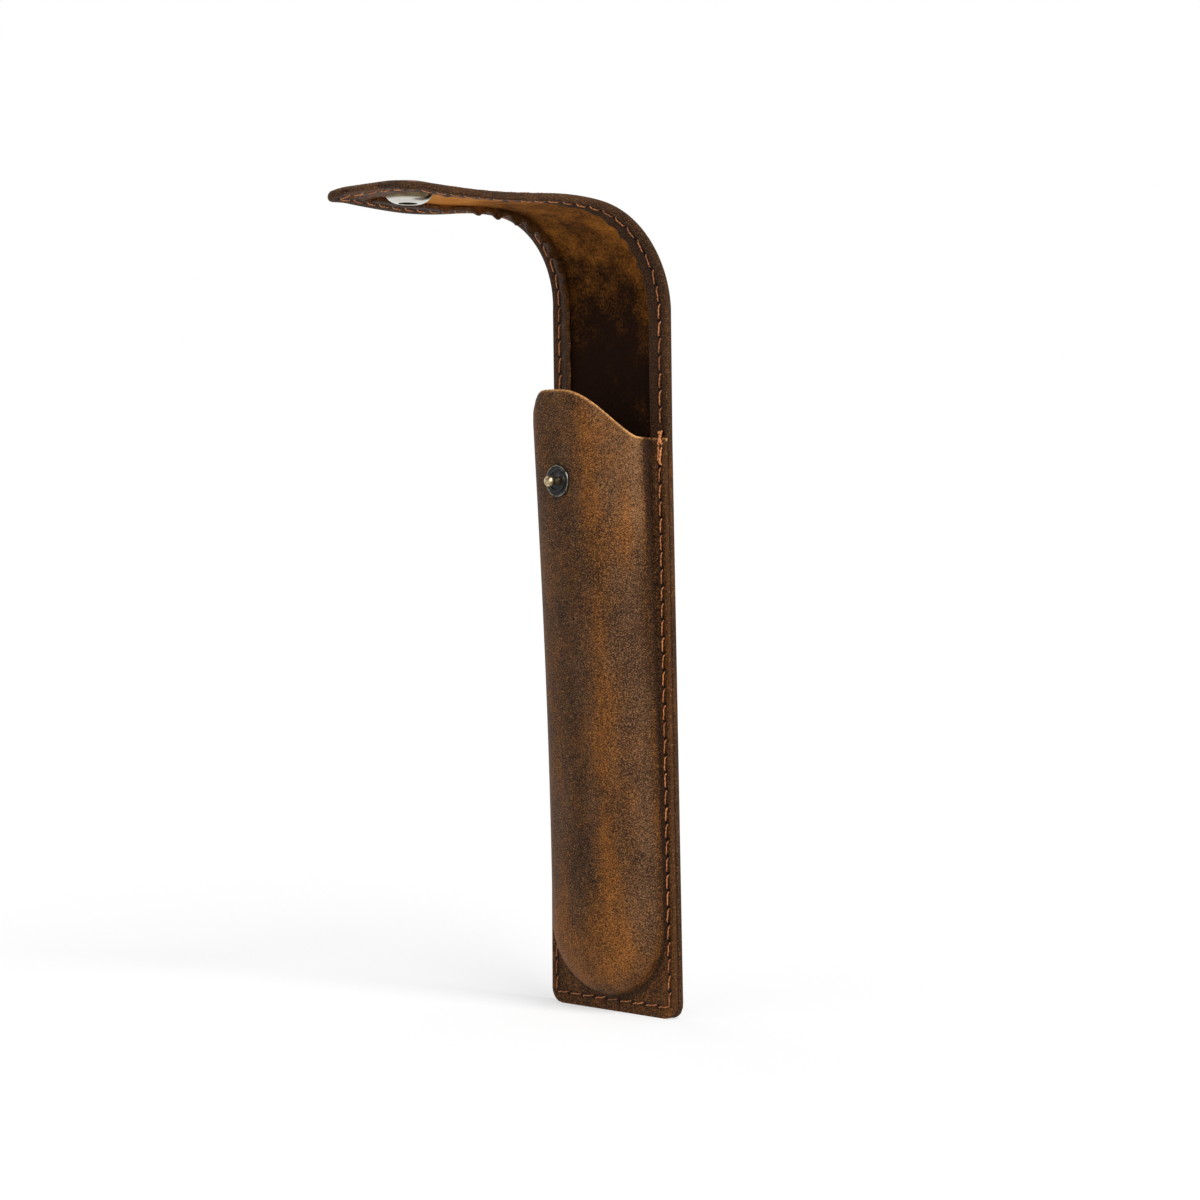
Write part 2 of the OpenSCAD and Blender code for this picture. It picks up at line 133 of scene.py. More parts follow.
def straight_half(s):
    """Half the strip's width, as it is before its corners are rounded."""
    s = np.asarray(s, float)
    low = mouth_w / 2 - (bottom_w - mouth_w) / 2 * s / mouth_h
    high = mouth_w / 2 - flap_taper * (s - riser_l) / (flap_l - riser_l)
    return np.where(s < 0, low, np.where(s < riser_l, mouth_w / 2, high))


def seam_half(s):
    """Half the distance between the side seams, which run nearer the edge on the pocket."""
    return straight_half(s) - pocket_inset - (seam_inset - pocket_inset) * smooth(s / 4.5)


def strip_half(s):
    corners = corner_cut(s + mouth_h, bottom_r), corner_cut(flap_l - s, tip_r)
    return straight_half(s) - corners[0] - corners[1]


def folds(s, sizes, width):
    """Sum of rounded puckers along a hem. sizes holds the height of each by its place."""
    out = np.zeros_like(s)
    for place, size in sizes.items():
        u = (s - place) / width
        out = out + size * np.exp(-u * u) * (1 + 0.5 * np.tanh(2 * u))
    return out


def seam_groove(seam):
    """Depth of the groove that a tight seam pulls into the leather, most at its holes.

    seam holds the turns along the seam and the distance across it.
    """
    hole = 0.5 + 0.5 * np.cos(2 * np.pi * seam[..., 0])
    return (0.2 + 0.14 * hole) * bell(seam[..., 1], 0, 0.62)


def side_phase(s):
    """Turns along the side seam: a hole at each whole number."""
    low = (s + mouth_h - seam_inset) / side_run * side_count
    high = (s - flap_seam_from) / flap_run * flap_count
    return np.where(s < flap_seam_from, low, high)


def end_seam_at(x, away, run, count):
    """Turns along a seam over an end, and distance across it, at away from that end."""
    across = np.where(np.abs(x) > run / 2 + seam_past, no_seam, away - seam_inset)
    return np.stack([(x / run + 0.5) * count, across, 0 * x], -1)


class Wire:
    """One output of a material's nodes. Arithmetic on wires adds Math nodes."""

    def __init__(self, tree, socket=None):
        self.tree, self.socket = tree, socket

    def node(self, kind, settings=None, inputs=None, output=0):
        """One new node: its settings first, then the values or links of its sockets."""
        made = self.tree.nodes.new(kind)
        for key, value in (settings or {}).items():
            setattr(made, key, value)
        for key, value in (inputs or {}).items():
            if isinstance(value, Wire):
                self.tree.links.new(value.socket, made.inputs[key])
            else:
                made.inputs[key].default_value = value
        return Wire(self.tree, made.outputs[output])

    def calc(self, operation, *values):
        return self.node("ShaderNodeMath", {"operation": operation}, dict(enumerate(values)))

    def __add__(self, other):
        return self.calc("ADD", self, other)

    __radd__ = __add__

    def __sub__(self, other):
        return self.calc("SUBTRACT", self, other)

    def __rsub__(self, other):
        return self.calc("SUBTRACT", other, self)

    def __mul__(self, other):
        return self.calc("MULTIPLY", self, other)

    __rmul__ = __mul__

    def __abs__(self):
        return self.calc("ABSOLUTE", self)

    def step(self, low, high):
        """0 below low and 1 above high, eased between them."""
        settings = {"interpolation_type": "SMOOTHSTEP"}
        return self.node("ShaderNodeMapRange", settings, {0: self, 1: low, 2: high})

    def mix(self, first, second):
        """The first colour where this wire is 0 and the second where it is 1."""
        colors = {6: rgba(first), 7: rgba(second)}
        return self.node("ShaderNodeMix", {"data_type": "RGBA"}, {0: self, **colors}, output=2)

    def split(self, axis):
        return self.node("ShaderNodeSeparateXYZ", None, {0: self}, output=axis)

    def noise(self, size, detail, rough, stretch=(1, 1, 1)):
        """Noise with features of that size in the unit of this coordinate."""
        scale = {"operation": "MULTIPLY"}
        place = self.node("ShaderNodeVectorMath", scale, {0: self, 1: stretch})
        inputs = {"Vector": place, "Scale": 1 / size, "Detail": detail, "Roughness": rough}
        return self.node("ShaderNodeTexNoise", None, inputs)

    def cells(self, size):
        return self.node("ShaderNodeTexVoronoi", None, {"Vector": self, "Scale": 1 / size})

    def named(self, name):
        """A vector that is kept on the mesh's points."""
        return self.node("ShaderNodeAttribute", {"attribute_name": name}, output=1)


def rgba(color):
    return color if isinstance(color, Wire) else (*color, 1)


def new_material(name):
    """An empty material, its shader, and a wire from which its nodes are made."""
    material = bpy.data.materials.new(name)
    material.use_nodes = True
    return material, material.node_tree.nodes["Principled BSDF"], Wire(material.node_tree)


def plug(shader, **inputs):
    for key, value in inputs.items():
        socket = shader.inputs[key.replace("_", " ")]
        if isinstance(value, Wire):
            value.tree.links.new(value.socket, socket)
        else:
            socket.default_value = value


def needle_holes(seam):
    """1 in the holes of a seam, which holds the turns along it and the distance across."""
    phase = seam.split(0)
    along = (phase - phase.calc("ROUND", phase)) * stitch_l
    across = seam.split(1)
    away = along.calc("SQRT", along * along * 0.7 + across * across)
    return 1 - away.step(0.32, 0.8)


hide, shader, start = new_material("oiled_hide")
brown, russet, tan = (0.135, 0.062, 0.026), (0.245, 0.085, 0.016), (0.42, 0.205, 0.085)
bark, soot, in_pit = (0.026, 0.0108, 0.0045), (0.015, 0.0062, 0.003), (0.010, 0.0042, 0.0022)
fleck, red_fleck, scuffed = (0.26, 0.132, 0.058), (0.34, 0.138, 0.033), (0.2, 0.12, 0.065)
nap_root, nap_tip, nap_worn_and_lit = (0.012, 0.0036, 0.0008), (0.44, 0.155, 0.022), (0.56, 0.30, 0.095)
cut_dark, cut_pale = (0.07, 0.027, 0.009), (0.68, 0.34, 0.12)
groove_shadow, hole_shadow = (0.024, 0.008, 0.003), (0.006, 0.003, 0.002)
flat = start.named("flat")
kind = start.named("kind")
suede, raw, tone = kind.split(0), kind.split(1), kind.split(2)
clouds = flat.noise(24, 3, 0.6, (1.5, 0.8, 1))
streaks = flat.noise(8, 4, 0.62, (1.7, 0.45, 1))
mottle = flat.noise(2.6, 5, 0.75)
fine = flat.noise(0.29, 1.5, 0.6)
pores = flat.cells(0.95)
# The grain side: pale over a dark ground, redder in places, pitted, flecked and scuffed.
# The pale is partly rubbed and partly painted sheen, and the tone kept on the mesh also holds
# painted shade and painted light.
lift = clouds * 0.85 + streaks * 0.7 + mottle * 0.8 + tone - 0.86
warmth = flat.noise(10, 4, 0.62, (1.7, 0.5, 1)) * 2.6 + start.named("patch").split(0) - 0.95
ground = warmth.step(0.0, 1.0).mix(brown, russet)
ground = (lift.step(0.55, 1.15) * 0.75).mix(ground, tan)
grain = lift.step(0.0, 0.8).mix(bark, ground)
dull = (1 - fine.step(0.41, 0.53)) * 0.66
grain = dull.mix(grain, soot)
pits = (1 - pores.step(0.12, 0.36)) * mottle.step(0.32, 0.54) * 0.85
grain = pits.mix(grain, in_pit)
flecks = warmth.step(0.0, 1.0).mix(fleck, red_fleck)
grain = (fine.step(0.52, 0.64) * (0.62 + tone)).mix(grain, flecks)
scuff = flat.noise(4, 5, 0.75, (3.4, 0.45, 1)).step(0.63, 0.74) * 0.3
grain = scuff.mix(grain, scuffed)
# The flesh side is suede, and a cut edge shows the bare fibre.
nap = flat.noise(0.55, 4, 0.8, (1, 0.8, 1))
pile = flat.noise(9, 5, 0.7)
fuzz = nap * 1.15 + pile * 1.1 + tone * 1.25 - 0.72
# Where the tone is high the nap turns pale: partly worn nap, partly painted light.
pale = fuzz.step(0.75, 1.5) * 0.8
fuzz = fuzz.step(0.0, 1.0).mix(nap_root, nap_tip)
fuzz = pale.mix(fuzz, nap_worn_and_lit)
fibre = flat.noise(0.5, 3, 0.7)
cut = (fibre * 2.4 - 0.75 + tone).step(0.0, 1.0).mix(cut_dark, cut_pale)
skin = raw.mix(suede.mix(grain, fuzz), cut)
# Painted shadow darkens a seam's groove and the holes along it.
side_seam = start.named("side_seam")
holes = needle_holes(side_seam)
holes = holes.calc("MAXIMUM", holes, needle_holes(start.named("end_seam")))
groove = 1 - abs(side_seam.split(1)).step(0.2, 1.5)
skin = (groove * 0.5).mix(skin, groove_shadow)
skin = (holes * 0.9).mix(skin, hole_shadow)
relief = flat.noise(1.5, 4, 0.6) * 0.5 + pores.step(0.05, 0.45) * 0.35 + fine * 0.3
height = relief * (1 - suede) + (nap * 1.5 + fibre * 0.9) * suede - holes * 1.4
bump = {"Height": height, "Strength": 0.6, "Distance": 0.00025}
rough = 0.52 + suede * 0.4 + raw * 0.3 + mottle * 0.2
plug(shader, Base_Color=skin, Roughness=rough, Normal=start.node("ShaderNodeBump", None, bump))
shader.inputs["Specular IOR Level"].default_value = 0.09


def mesh_piece(name, points, faces, attributes, material, sharp):
    """A mesh from points in millimetres, smooth but at edges sharper than that angle."""
    mesh = bpy.data.meshes.new(name)
    mesh.from_pydata((np.asarray(points) * mm).tolist(), [], [list(map(int, f)) for f in faces])
    mesh.polygons.foreach_set("use_smooth", [True] * len(mesh.polygons))
    for key, values in attributes.items():
        layer = mesh.attributes.new(key, "FLOAT_VECTOR", "POINT")
        layer.data.foreach_set("vector", np.asarray(values, np.float32).ravel())
    mesh.update()
    mesh.set_sharp_from_angle(angle=sharp)
    mesh.materials.append(material)
    piece = bpy.data.objects.new(name, mesh)
    bpy.context.scene.collection.objects.link(piece)
    return piece


edge_steps = np.array([0.9, 1.3, 1.7, 2.1, 2.4, 2.7, 3.0, 3.3, 3.7, 4.1, 4.6, 5.0, 5.35, 5.65])
core_steps = np.linspace(1, 0, 9)[:-1]
fold_turns = np.radians([80, 60, 40, 20, 0, -20, -40, -60, -80])
# Each pucker's height by its place along the far, the near and the end hem.
far_folds = {5.0: 0.3, 11.5: 0.4, 18.5: 0.6, 25.5: 0.9, 31.0: 0.8, 35.0: 1.4, 40.0: 1.2}
far_folds |= {44.5: 1.9, 49.5: 1.5, 54.5: 2.0, 60.0: 1.7, 66.5: 1.4, 73.0: 1.0}
far_folds |= {84.0: 0.5, 97.0: 0.3, 108.0: 0.6}
near_folds = {31.0: 0.35, 35.5: 0.45, 40.0: 0.55, 44.0: 0.5, 48.5: 0.6, 53.0: 0.5}
near_folds |= {58.5: 0.35, 66.0: 0.2, 84.0: 0.15, 101.0: 0.25}
end_folds = {-7.5: 0.35, -1.5: 0.2, 5.0: 0.3, 9.0: 0.3}


def hem_lift(x, s, e, e2):
    """How far the hem stands off its flat place: loose inner edge, puckers and mitre.

    e is the distance from the side's edge, and e2 from the flap's end.
    """
    waves = np.where(x < 0, folds(s, far_folds, 1.9), folds(s, near_folds, 1.3))
    free = smooth((np.minimum(e, hem_w) - 2.9) / 3.1)
    lift = smooth((s - 1) / 6) * free * (0.22 + waves)
    end_free = smooth((np.minimum(e2, end_hem_w) - 2.6) / 3.6) * smooth((e - 4) / 3)
    lift = np.where(e2 < end_hem_w, end_free * (0.2 + folds(x, end_folds, 1.5)), lift)
    spoke, around = np.arctan2(np.maximum(e2, 0), e), np.hypot(e, e2)
    gather = bell(spoke, 0.75, 0.4) * smooth((around - 1.2) / 2)
    gather = gather * (1 - smooth((around - 7.5) / 3)) * (e < hem_w + 1)
    return lift + gather * (0.2 + 0.22 * np.cos(spoke * 21))


end_run = 2 * (float(straight_half(flap_end_s)) - seam_inset)
low_run = bottom_w - 2 * pocket_inset
outer_face, round_fold, hem_face, hem_lip, suede_face = range(5)


def strip_ring(s, level, rim):
    """One section of the strip: points, and what its leather is at each of them.

    level is 1 where the end's hem covers the suede, and rim how much of the thickness is left.
    """
    w = float(strip_half(s))
    core_w = w - hem_w
    e2, low = flap_l - s, s + mouth_h
    half = np.concatenate([w - edge_steps, core_w * core_steps])
    face = np.concatenate([half, [0.0], -half[::-1]])
    rows = [(x, strip_t, 0.0, 0.0, outer_face) for x in face]
    left = []
    for t in fold_turns:
        x, d = w - sheet_t * (1 - math.cos(t)), sheet_t + sheet_t * math.sin(t)
        left.append((-x, d, 0.0, 0.0, round_fold))
    lip = [(core_w, 0.12, 0.1, 0.0, hem_lip), (core_w - 0.1, 0.72, 0.3, 0.1, hem_lip)]
    lip.append((core_w + 0.5, sheet_t, 0.8, 0.0, suede_face))
    inner = [(x, 0.0, 0.0, 0.0, hem_face) for x in w - edge_steps] + lip
    inner += [(x, sheet_t, 1.0, 0.0, suede_face) for x in (core_w - 0.15) * core_steps]
    rows += left + [(-x, *rest) for x, *rest in inner] + [(0.0, sheet_t, 1.0, 0.0, suede_face)]
    rows += inner[::-1] + [(-x, *rest) for x, *rest in left[::-1]]
    x, d, napped, bare, tag = np.array(rows, float).T
    ss = np.full_like(x, s)
    e = w - np.abs(x)
    over = tag >= hem_lip
    d, napped, bare = (np.where(over, v * (1 - level), v) for v in (d, napped, bare))
    on_hem = (tag == hem_face) | (tag == hem_lip) | ((tag == suede_face) & (level > 0.5))
    d = d - np.where(on_hem, hem_lift(x, ss, e, np.full_like(x, e2)), 0)
    seam = np.stack([side_phase(ss), float(seam_half(s)) - np.abs(x), 0 * x], -1)
    if min(e2, low) < seam_inset - seam_past:
        seam[:, 1] = no_seam
    if s > 0:
        cross = end_seam_at(x, e2, end_run, end_count)
    else:
        cross = end_seam_at(x, low, low_run, low_count)
    dent = np.maximum(seam_groove(seam), seam_groove(cross))
    if s < 0:
        dent = np.where(tag == hem_face, 0, dent)
    d = np.where(tag == outer_face, d - dent, d + np.where(on_hem, dent, 0))
    d = sheet_t + (d - sheet_t) * rim
    # The grain's pattern runs on round the fold and differs on the outer face.
    layer = np.where(tag == outer_face, 4.5, np.where(tag == round_fold, 2.5 * d, 0.0))
    hem_tone = -0.18 - 0.15 * smooth((e - 2.6) / 1.2)
    tone = np.where(tag == hem_face, hem_tone, np.where(tag == round_fold, -0.18, -0.06))
    # Painted light and shade on the suede: darker on the riser, which the flap shades, and in
    # the middle of its width; lighter towards the near edge and towards the lip, where light
    # reaches it.
    nap_light_and_shade = -0.37 + 0.09 * smooth((x - 4) / 8) + 0.31 * smooth((s - 16) / 34)
    tone = np.where(napped > 0.5, nap_light_and_shade + 0.5 * smooth((s - 62) / 30), tone)
    leather = np.stack([napped, bare, tone], -1)
    return on_strip(x, ss, d), np.stack([x, ss, layer], -1), seam, cross, leather


# The rows that round off an end: the distance from it, and the share of the thickness left.
rim_rows = [(0.0, 0.12), (0.12, 0.5), (0.35, 0.8), (0.75, 0.97)]


def strip_part(name, s0, s1):
    """The closed strip of leather between s0 and s1."""
    rows = [(s, 0.0, 1.0) for s in np.arange(s0, min(s1, 0) - 0.1, 1.3)] if s0 < 0 else []
    high = max(s0, 0)
    rows += [(s, 0.0, 1.0) for s in np.linspace(high, s1, int((s1 - high) / 0.6) + 1)]
    if s0 < 1 - mouth_h:
        rows = [row for row in rows if row[0] > s0 + 1]
        rows = [(s0 + a, 0.0, r) for a, r in rim_rows] + rows
    if s1 > flap_l - 1:
        end = flap_l - end_hem_w
        rows = [row for row in rows if row[0] < end - 0.5]
        rows += [(end - 0.35, 0.0, 1.0), (end - 0.05, 0.0, 1.0), (end, 1.0, 1.0)]
        rows += [(s, 1.0, 1.0) for s in np.arange(end + 0.4, flap_l - 1.0, 0.45)]
        rows += [(flap_l - a, 1.0, r) for a, r in rim_rows[::-1]]
    rings = [strip_ring(*row) for row in rows]
    n = len(rings[0][0])
    faces = [tuple(range(n))]
    for j in range(len(rings) - 1):
        a, b = j * n, (j + 1) * n
        faces += [(a + i, b + i, b + (i + 1) % n, a + (i + 1) % n) for i in range(n)]
    faces.append(tuple(reversed(range((len(rings) - 1) * n, len(rings) * n))))
    points, flats, seams, crosses, kinds = (np.concatenate(part) for part in zip(*rings))
    looks = {"flat": flats, "side_seam": seams, "end_seam": crosses, "kind": kinds}
    return mesh_piece(name, points, faces, looks, hide, 1.1)


def punch(piece, centre, way, radius):
    """Cuts a round hole through a piece, along the direction way through centre."""
    bpy.ops.mesh.primitive_cylinder_add(vertices=48, radius=radius * mm, depth=8 * mm)
    cutter = bpy.context.object
    cutter.location = Vector(centre) * mm
    cutter.rotation_euler = Vector(way).to_track_quat("Z", "Y").to_euler()
    hole = piece.modifiers.new("hole", "BOOLEAN")
    hole.object, hole.operation, hole.solver = cutter, "DIFFERENCE", "FAST"
    bpy.context.view_layer.update()
    graph = bpy.context.evaluated_depsgraph_get()
    holed = piece.evaluated_get(graph)
    mesh = bpy.data.meshes.new_from_object(
        holed, preserve_all_data_layers=True, depsgraph=graph
    )
    piece.modifiers.clear()
    piece.data = mesh
    bpy.data.objects.remove(cutter)


strip_low = strip_part("strip_back", -mouth_h, bend_marks[1])
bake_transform(strip_low)
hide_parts("back_panel", "flap_panel_1")
strip_mid = strip_part("strip_bend", bend_marks[1], bend_marks[2])
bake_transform(strip_mid)
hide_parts("flap_panel_2")
strip_end = strip_part("strip_flap", bend_marks[2], flap_l)
snap_s = flap_l - 13.4
barrel_hole_r = 2.38
snap_at = on_strip(0.0, snap_s, sheet_t)
snap_way = on_strip(0.0, snap_s, 0.0) - snap_at
punch(strip_end, snap_at, snap_way, barrel_hole_r)
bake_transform(strip_end)
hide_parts("flap_panel_3")

# The front is a second leather, moulded wet over a form into a round-ended dome, trimmed flush
# with the strip and sewn to it. Its mouth is cut in a wave that rises over the dome, and its
# cut edges stay raw.
front_t = 1.3
raw_inset = 0.2
dome_gap = 4.0
flange_w = 3.3
fit_z = 25.0
low_half = float(straight_half(fit_z - mouth_h)) - flange_w
mouth_half = 13.0
low_depth, depth_gain = 9.5, 6.9
crest_rise, climb_run = 11.5, 24.0
wave_from = 90.0
dome_cz = dome_gap + low_half
stud_z = 125.8
seat_y = -16.825
pressed_r = 3.4


def dome_t(z):
    """0 up to where the dome's round end stops, and 1 at the mouth."""
    return np.maximum(0, (z - dome_cz) / (mouth_h - dome_cz))


def dome_half(z):
    return low_half - (low_half - mouth_half) * dome_t(z) ** 1.4


def dome_depth(z):
    return low_depth + depth_gain * dome_t(z) ** 1.25


def bulge(t, z):
    """Share of the half width and of the depth at turn t. The section is squarer high up."""
    n = 2.1 + 1.1 * dome_t(z) ** 2
    c, s = np.cos(t), np.abs(np.sin(t))
    return np.sign(c) * np.abs(c) ** (2 / n), s ** (2 / n)


def mouth_rise(t, z):
    """How far the mouth's wave draws the rows near it up over the dome."""
    across, out = bulge(t, z)
    run = 0.87 * (dome_depth(z) * out + dome_half(z) * (1 - np.abs(across)))
    climb = np.clip((run - 0.5) / climb_run, 0, 1)
    climb = climb + 0.35 * climb * (1 - climb)
    far_dip = 1.4 * smooth((-np.cos(t) - 0.15) / 0.5) * smooth(run / 10)
    near = np.maximum(0, (z - wave_from) / (mouth_h - wave_from)) ** 2
    return (crest_rise * smooth(climb) - far_dip) * near


dome_turns = np.pi * (1 - np.linspace(0, 1, 91))
flange_steps = np.array([0.0, 0.12, 0.3, 0.5, 0.72, 0.86, 0.95])
end_turns = np.radians(np.linspace(8, 90, 26)[:-1])
shaft_z = dome_cz + (mouth_h - 1.6 - dome_cz) * np.linspace(0, 1, 72)
edge_z = mouth_h - np.array([1.2, 0.85, 0.55, 0.32, 0.15, 0.0])
foot_z = np.array([0.0, 0.25, 0.6, 1.1, 1.7, 2.3, 2.9, 3.4])
ease_rounds = 7


def front_row(z, end, wall, foot):
    """One row of the front leather across its flanges and dome, wall inside its surface.

    end is the turn up the dome's round end, a quarter turn on the shaft above it.
    """
    on_shaft = end == math.pi / 2
    if foot:
        x = (low_half - wall) * math.sin(end_turns[0]) * np.cos(dome_turns)
        y, up = np.full_like(x, wall - front_t), np.full_like(x, z)
    else:
        up = z + mouth_rise(dome_turns, z) if on_shaft else np.full_like(dome_turns, z)
        across, out = bulge(dome_turns, up)
        x = (dome_half(up) - wall) * math.sin(end) * across
        y = -(front_t - wall) - dome_depth(up) * math.sin(end) ** 0.9 * out
        if not on_shaft:
            up = np.full_like(up, dome_cz - (low_half - wall) * math.cos(end))
    at = float(up[0])
    w = float(strip_half(at - mouth_h)) - raw_inset
    side = w + (x[-1] - w) * flange_steps
    level, high = np.full(len(side), wall - front_t), np.full(len(side), at)
    parts = [(-side, x, side[::-1]), (level, y, level), (high, up, high)]
    return np.stack([np.concatenate(part) for part in parts], -1)


def front_sheet(wall):
    """The moulded sheet: its foot eased into the flange, its crown pressed flat at the stud."""
    rows = [front_row(z, 0, wall, True) for z in foot_z]
    rows += [front_row(dome_cz, end, wall, False) for end in end_turns]
    rows += [front_row(z, math.pi / 2, wall, False) for z in (*shaft_z, *edge_z)]
    sheet = np.array(rows)
    for _ in range(ease_rounds):
        calm = np.clip((3.2 + sheet[..., 1] + front_t - wall) / 2.2, 0, 1)[..., None]
        calm[:, :3] = calm[:, -3:] = 0
        calm[:2] = 0
        mean = sheet.copy()
        ring = sheet[:-2, 1:-1] + sheet[2:, 1:-1] + sheet[1:-1, :-2] + sheet[1:-1, 2:]
        mean[1:-1, 1:-1] = ring / 4
        mean[-1, 1:-1] = (sheet[-1, :-2] + sheet[-1, 2:]) / 2
        sheet = sheet + 0.6 * calm * (mean - sheet)
    # The mouth turns in a little, and its cut edge is bevelled on the grain side.
    top = sheet[-1:, :, 2]
    turn_in = smooth((sheet[..., 2] - top + 3.0) / 3.0)
    turn_in = turn_in * np.clip((-3.0 - sheet[..., 1]) / 6, 0, 1)
    sheet[..., 1] += 0.55 * turn_in
    sheet[..., 0] *= 1 - 0.03 * turn_in
    if wall == 0:
        sheet[..., 1] += 0.3 * (1 - smooth((top - sheet[..., 2]) / 0.6))
    away = np.hypot(sheet[..., 0], sheet[..., 2] - stud_z)
    press = (1 - smooth((away - pressed_r) / pressed_r)) * (sheet[..., 1] < seat_y + wall + 1.5)
    sheet[..., 1] += press * np.maximum(0, seat_y + wall + 0.02 - sheet[..., 1])
    return sheet


def corner_press(z):
    """How much the tacks at the mouth's corners squeeze the front."""
    return 0.5 * smooth((z - 129.5) / 4)


outer, inner = front_sheet(0.0), front_sheet(front_t)
rows_n, cols_n = outer.shape[:2]
across, high = outer[..., 0].copy(), outer[..., 2]
on_flange = outer[..., 1] > -front_t - 1.2
side_e = seam_half(high - mouth_h) - np.abs(across)
phase = side_phase(np.minimum(high - mouth_h, 0))
by_seam = on_flange & (high > seam_inset - seam_past)
side_at = np.stack([phase, np.where(by_seam, side_e, no_seam), 0 * phase], -1)
low_at = end_seam_at(across, high, low_run, low_count)
dent = np.maximum(seam_groove(side_at), seam_groove(low_at))
outer[..., 1] += dent * on_flange + corner_press(high) * on_flange

# Where the leather is darker or paler. First painted shade in the valley and in the crease at
# the dome's foot.
foot_gap = np.abs(across) - dome_half(high)
low_gap = np.hypot(across, np.minimum(high - dome_cz, 0)) - low_half
foot_gap = np.where(high < dome_cz, low_gap, foot_gap)
past_foot = smooth(foot_gap + 0.2)
valley_w = 0.5 + 0.6 * smooth((high - 100) / 25)
# Painted shade in the narrow valley between the dome's foot and the seam.
valley_shade = smooth((foot_gap + 0.2) / 0.55) * bell(np.maximum(foot_gap - 0.8, 0), 0, valley_w)
tones = -(0.2 + 0.25 * smooth((high - 102) / 22)) * valley_shade - 0.04 * past_foot
tones = tones - 0.1 * past_foot * smooth((95 - high) / 30)
# Painted shade in the crease where the dome's wall meets the flange.
tones = tones - 0.2 * bell(foot_gap, 0.25, 0.38) * smooth((118 - high) / 12)
# Then the flange's rubbed edge, the rubbed foot, the dark crown, and a painted sheen that makes
# the near flank paler and greyer where it faces the light.
round_at = np.degrees(np.arctan2(-outer[..., 1], across))
rise = -outer[..., 1] - front_t
on_dome = smooth((rise - 0.5) / 1.5)
low_down = smooth((40 - high) / 25)
tones = tones + 0.15 * smooth((-side_e - 0.35) / 0.7) * on_flange
tones = tones + 0.16 * low_down * smooth((-foot_gap - 1) / 3)
tones = tones - 0.13 * bell(round_at, 88, 16) * on_dome * smooth((125 - high) / 20)
# Painted sheen: the near flank is painted paler where it faces the light.
tones = tones + 0.56 * bell(round_at, 13, 19) * smooth((high - 96) / 24) * on_dome
# Warmer in a band and low down; greyer on the near flank, as part of its painted sheen.
warm_and_sheen = 0.5 * bell(round_at, 56, 10) - 0.4 * bell(round_at, 18, 10)
warm_and_sheen = warm_and_sheen * on_dome + 0.6 * bell(rise, 0.8, 0.7) + 0.5 * low_down

outer_n = rows_n * cols_n
points = np.concatenate([outer.reshape(-1, 3), inner.reshape(-1, 3)])
from_mouth = high[-1:] - high
worn = 0.85 * (1 - smooth((from_mouth - 0.12) / 0.55)) * (high > 60)
kinds = np.stack([0 * tones, worn, tones + 0.2 * worn], -1).reshape(-1, 3)
kinds = np.concatenate([kinds, np.tile([1.0, 0.0, -0.2], (outer_n, 1))])
faces = []
for j in range(rows_n - 1):
    for i in range(cols_n - 1):
        a, b = j * cols_n + i, (j + 1) * cols_n + i
        faces.append((a, a + 1, b + 1, b))
        faces.append((outer_n + b, outer_n + b + 1, outer_n + a + 1, outer_n + a))
# The rounded and slightly ragged cut edge joins the two faces all round.
loop = list(range(cols_n)) + [j * cols_n + cols_n - 1 for j in range(1, rows_n)]
loop += [(rows_n - 1) * cols_n + i for i in range(cols_n - 2, -1, -1)]
loop = np.array(loop + [j * cols_n for j in range(rows_n - 2, 0, -1)])
rim_from, flow = points[loop], points[loop + outer_n] - points[loop]
out_way = np.cross(np.roll(rim_from, -1, 0) - np.roll(rim_from, 1, 0), flow)
out_way /= np.maximum(1e-9, np.linalg.norm(out_way, axis=1))[:, None]
layers, total = [loop], len(points)
for share, push in [(0.07, 0.12), (0.25, 0.2), (0.5, 0.23), (0.75, 0.2), (0.93, 0.12)]:
    mid_edge = 0.1 < share < 0.9
    ragged = 0.05 * np.sin(np.arange(len(loop)) * 2.1 + 9 * share) * mid_edge
    layer = rim_from + share * flow + (push + ragged)[:, None] * out_way
    points = np.concatenate([points, layer])
    cut_tone = np.where(rim_from[:, 2] > mouth_h - 0.6, 0.3, -0.5)
    bare = 0 * cut_tone + (0.75 if mid_edge else 0.4)
    kinds = np.concatenate([kinds, np.stack([0 * cut_tone, bare, cut_tone], -1)])
    layers.append(np.arange(len(loop)) + total)
    total = len(points)
layers.append(loop + outer_n)
for before, after in zip(layers[:-1], layers[1:]):
    for i in range(len(loop)):
        k = (i + 1) % len(loop)
        faces.append((before[i], after[i], after[k], before[k]))
off_seam = np.tile([0.0, no_seam, 0.0], (len(points) - outer_n, 1))
patches = np.stack([warm_and_sheen, 0 * warm_and_sheen, 0 * warm_and_sheen], -1).reshape(-1, 3)
looks = {
    "flat": np.stack([points[:, 0] + 70, points[:, 2], points[:, 1]], -1),
    "side_seam": np.concatenate([side_at.reshape(-1, 3), off_seam]),
    "end_seam": np.concatenate([low_at.reshape(-1, 3), off_seam]),
    "kind": kinds,
    "patch": np.concatenate([patches, 0 * off_seam]),
}
front = mesh_piece("front_leather", points, faces, looks, hide, 1.1)
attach(front, "sleeve")
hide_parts("front_pocket")

